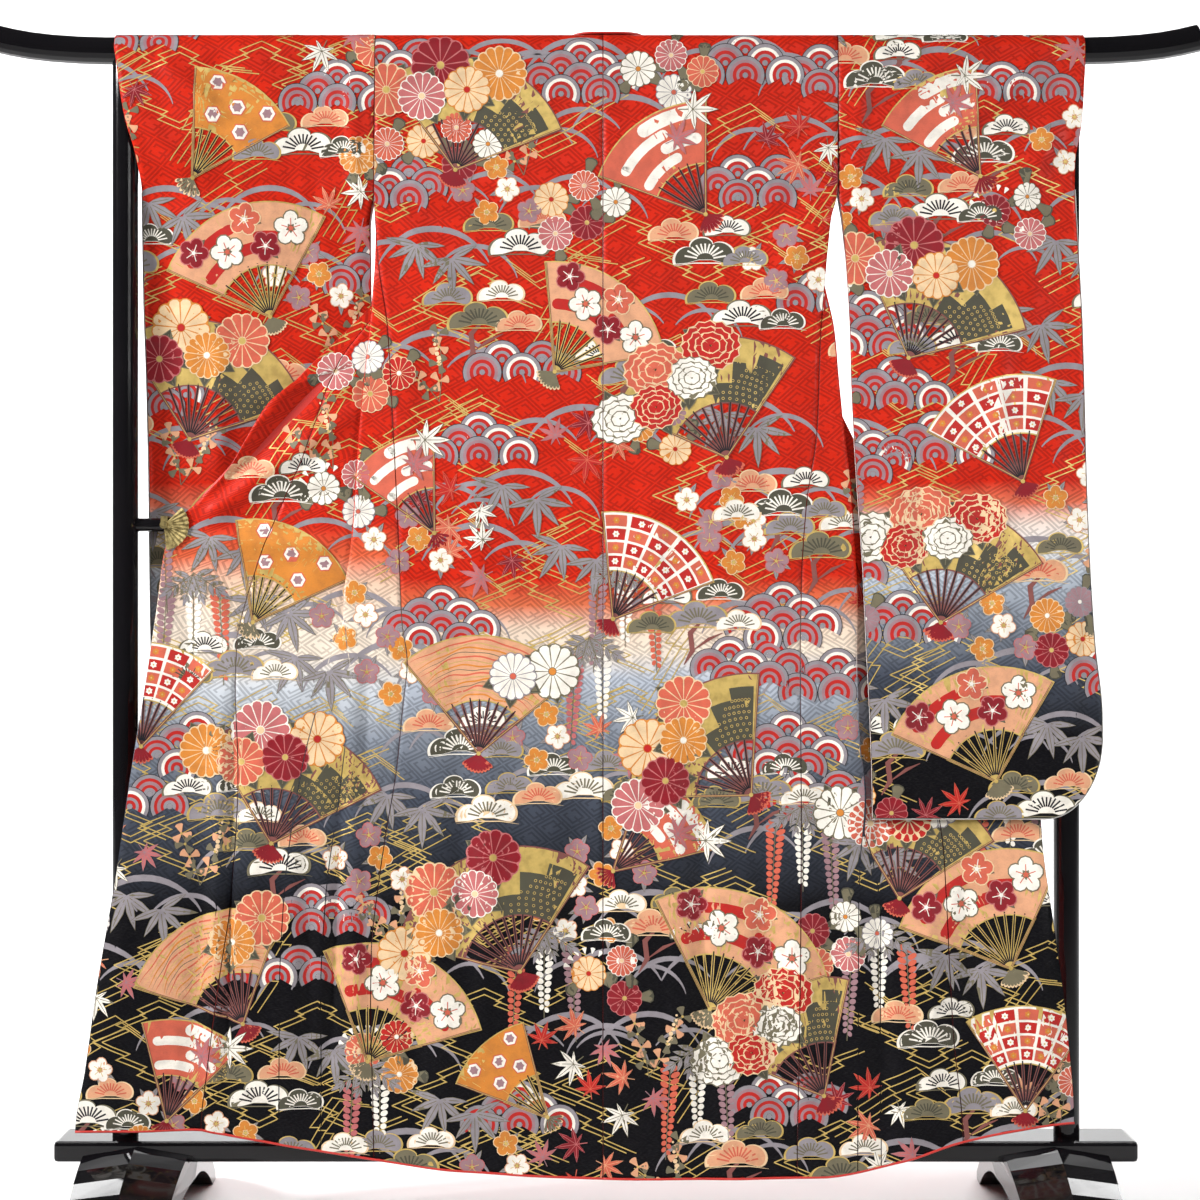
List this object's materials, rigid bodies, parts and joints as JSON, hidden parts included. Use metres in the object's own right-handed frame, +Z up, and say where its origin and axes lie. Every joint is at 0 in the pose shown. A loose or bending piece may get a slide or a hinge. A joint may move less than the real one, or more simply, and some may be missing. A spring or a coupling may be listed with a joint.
{
  "type": "furisode kimono on lacquered display stand",
  "caption": "Long-sleeved silk furisode hung open, its back to the viewer, over the top rail of a black lacquered kimono stand with arched feet.",
  "frame": {"origin": "on the floor, midway between the two feet, under the top rail", "axes": "+Z up, +X along the rails towards the right of someone who faces the garment's back, -Y the side on which its back shows"},
  "size_m": [1.781, 0.5, 1.7587],
  "materials": {
    "vermilion_silk": "satin silk",
    "vermilion_silk_front": "satin silk",
    "vermilion_silk_sleeve": "satin silk",
    "vermilion_silk_collar": "satin silk",
    "navy_silk": "satin silk",
    "black_lacquer": "gloss black lacquer",
    "aged_brass": "aged, satin"
  },
  "bodies": {
    "root": {"back_left": "vermilion_silk", "back_right": "vermilion_silk", "front_left": "vermilion_silk_front", "front_right": "vermilion_silk_front", "okumi_left": "navy_silk", "okumi_right": "navy_silk", "sleeve_left": "vermilion_silk_sleeve", "sleeve_right": "vermilion_silk_sleeve", "collar": "vermilion_silk_collar", "top_rail": "black_lacquer", "mid_rail": "black_lacquer", "post_left": "black_lacquer", "post_right": "black_lacquer", "base_beam": "black_lacquer", "foot_left": "black_lacquer", "foot_right": "black_lacquer", "clip_fan": "aged_brass", "clip_grip": "aged_brass"}
  },
  "joints": []
}
